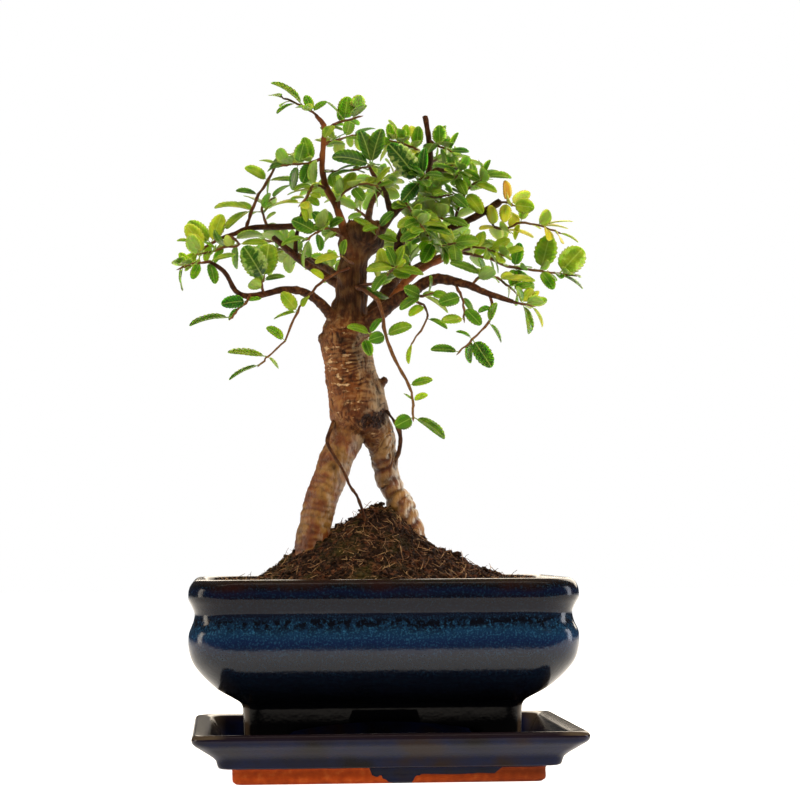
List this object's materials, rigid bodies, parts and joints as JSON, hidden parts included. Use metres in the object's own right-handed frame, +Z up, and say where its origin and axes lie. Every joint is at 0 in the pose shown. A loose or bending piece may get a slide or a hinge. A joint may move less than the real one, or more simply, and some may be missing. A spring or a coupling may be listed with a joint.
{
  "type": "potted chinese elm bonsai",
  "caption": "Small elm bonsai on two leg-like roots, heaped soil, leafy shoots, in a glazed rectangular pot standing on a glazed saucer.",
  "frame": {"origin": "middle of the saucer's foot, on the surface that it stands on", "axes": "+Z up the tree; -Y is the front, the side of the pot that the picture shows; +X to its right"},
  "size_m": [0.2241, 0.156, 0.3731],
  "materials": {
    "saucer_glaze": "gloss",
    "pot_glaze": "gloss",
    "soil": "matte",
    "bark": "matte",
    "leaf_dark": "satin",
    "leaf_mid": "satin",
    "leaf_light": "satin",
    "leaf_yellow": "satin"
  },
  "bodies": {
    "root": {"saucer": "saucer_glaze", "pot": "pot_glaze", "soil": "soil", "trunk": "bark", "spray_left_tip": "leaf_yellow", "spray_left_low": "leaf_light", "spray_arm_tip": "leaf_light", "spray_arm_up": "leaf_mid", "spray_arm_hang": "leaf_dark", "spray_fall_left": "leaf_mid", "spray_arch_left": "leaf_mid", "spray_arch_twig": "leaf_mid", "spray_crown_tip": "leaf_light", "spray_crown_right": "leaf_light", "spray_crown_left": "leaf_mid", "spray_crown_back": "leaf_light", "spray_deck": "leaf_dark", "spray_crown_low": "leaf_light", "spray_bare_fork": "leaf_mid", "spray_inner_left": "leaf_dark", "spray_pale_left": "leaf_yellow", "spray_stump_right": "leaf_mid", "spray_stump_front": "leaf_light", "spray_trunk_leaf": "leaf_mid", "spray_fall_front": "leaf_mid", "spray_fall_thin": "leaf_light", "spray_low_leaves": "leaf_light", "spray_under_a": "leaf_mid", "spray_under_b": "leaf_dark", "spray_reach_tip": "leaf_yellow", "spray_reach_top": "leaf_light", "spray_light_end": "leaf_mid", "spray_light_low": "leaf_light", "spray_yellow": "leaf_yellow", "spray_cut_end": "leaf_yellow", "spray_hook": "leaf_mid", "spray_top_cut": "leaf_light", "spray_top_right": "leaf_light", "spray_top_left": "leaf_yellow", "spray_dark_big": "leaf_dark", "spray_heart_a": "leaf_mid", "spray_heart_b": "leaf_light", "spray_heart_c": "leaf_mid", "spray_heart_d": "leaf_light", "spray_back_left_a": "leaf_mid", "spray_back_left_b": "leaf_mid", "spray_back_left_c": "leaf_light", "spray_back_mid_a": "leaf_light", "spray_back_mid_b": "leaf_mid", "spray_back_mid_c": "leaf_light", "spray_back_right_a": "leaf_mid", "spray_back_right_b": "leaf_light", "spray_back_right_c": "leaf_mid", "spray_back_right_d": "leaf_light"}
  },
  "joints": []
}
